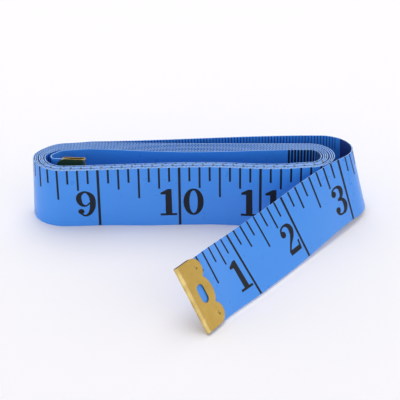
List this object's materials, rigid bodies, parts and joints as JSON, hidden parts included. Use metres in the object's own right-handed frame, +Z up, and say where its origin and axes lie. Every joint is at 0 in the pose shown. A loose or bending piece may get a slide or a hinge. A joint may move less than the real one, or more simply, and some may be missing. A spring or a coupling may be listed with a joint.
{
  "type": "cloth tape measure",
  "caption": "Coated cloth tape measure wound flat and standing on its edge, its free end drawn out and leaning back, with a folded scalloped metal tip on each end.",
  "frame": {"origin": "under the middle of the part's bounding box, on the surface that the tape's lower edges stand on", "axes": "+X along the coil towards the bend that the free end leaves by, +Y away from the free end, +Z up along the tape's width"},
  "size_m": [0.106, 0.0834, 0.0207],
  "materials": {
    "coated_tape": "semi-gloss vinyl coat on woven glass fibre",
    "tip_brass": "pressed brass sheet, lightly worn"
  },
  "bodies": {
    "coil": {"tape_coil": "coated_tape", "tape_bend": "coated_tape"},
    "free_end": {"tape_free_end": "coated_tape", "outer_end_tip": "tip_brass"},
    "inner_end": {"tape_inner_end": "coated_tape", "inner_end_tip": "tip_brass"}
  },
  "joints": [
    {"name": "free_end_swing", "type": "hinge", "parent": "coil", "child": "free_end", "pos_m": [0.04727, 0.03368, 0], "axis": [0, 0, 1], "range_deg": [0, 110], "deforming": ["tape_bend"]},
    {"name": "inner_end_swing", "type": "hinge", "parent": "coil", "child": "inner_end", "pos_m": [-0.04568, 0.0261, 0], "axis": [0, 0, 1], "range_deg": [0, 18]}
  ]
}
